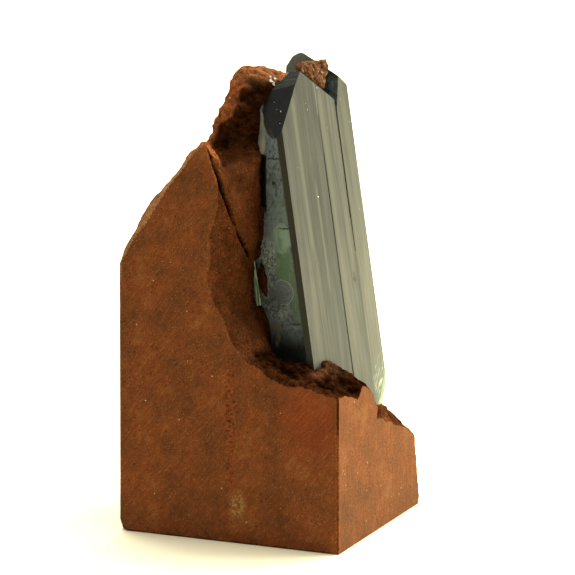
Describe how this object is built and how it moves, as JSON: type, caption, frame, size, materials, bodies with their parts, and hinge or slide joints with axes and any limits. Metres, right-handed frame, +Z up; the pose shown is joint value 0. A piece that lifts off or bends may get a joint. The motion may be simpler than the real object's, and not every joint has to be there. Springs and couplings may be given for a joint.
{
  "type": "vivianite crystal specimen on sawn matrix",
  "caption": "Dark green striated mineral crystals standing against brown rock, sawn flat underneath so that the specimen stands by itself on a shelf.",
  "frame": {"origin": "middle of the base of the specimen's bounding box, on the surface that it stands on", "axes": "+Z up, along the specimen's height; +X out of the small sawn side; -Y out of the large sawn face"},
  "size_m": [0.0338, 0.03, 0.0666],
  "materials": {
    "ironstone": "fine sandy brown ironstone, sawn flat on four sides and broken elsewhere",
    "vivianite": "glassy dark green crystal faces with fine lengthwise growth lines",
    "pale_vivianite": "pale green glassy sliver"
  },
  "bodies": {
    "root": {"matrix_block": "ironstone", "front_crystal": "vivianite", "rear_crystal": "vivianite", "matrix_wedge": "ironstone", "crystal_sliver": "pale_vivianite"}
  },
  "joints": []
}
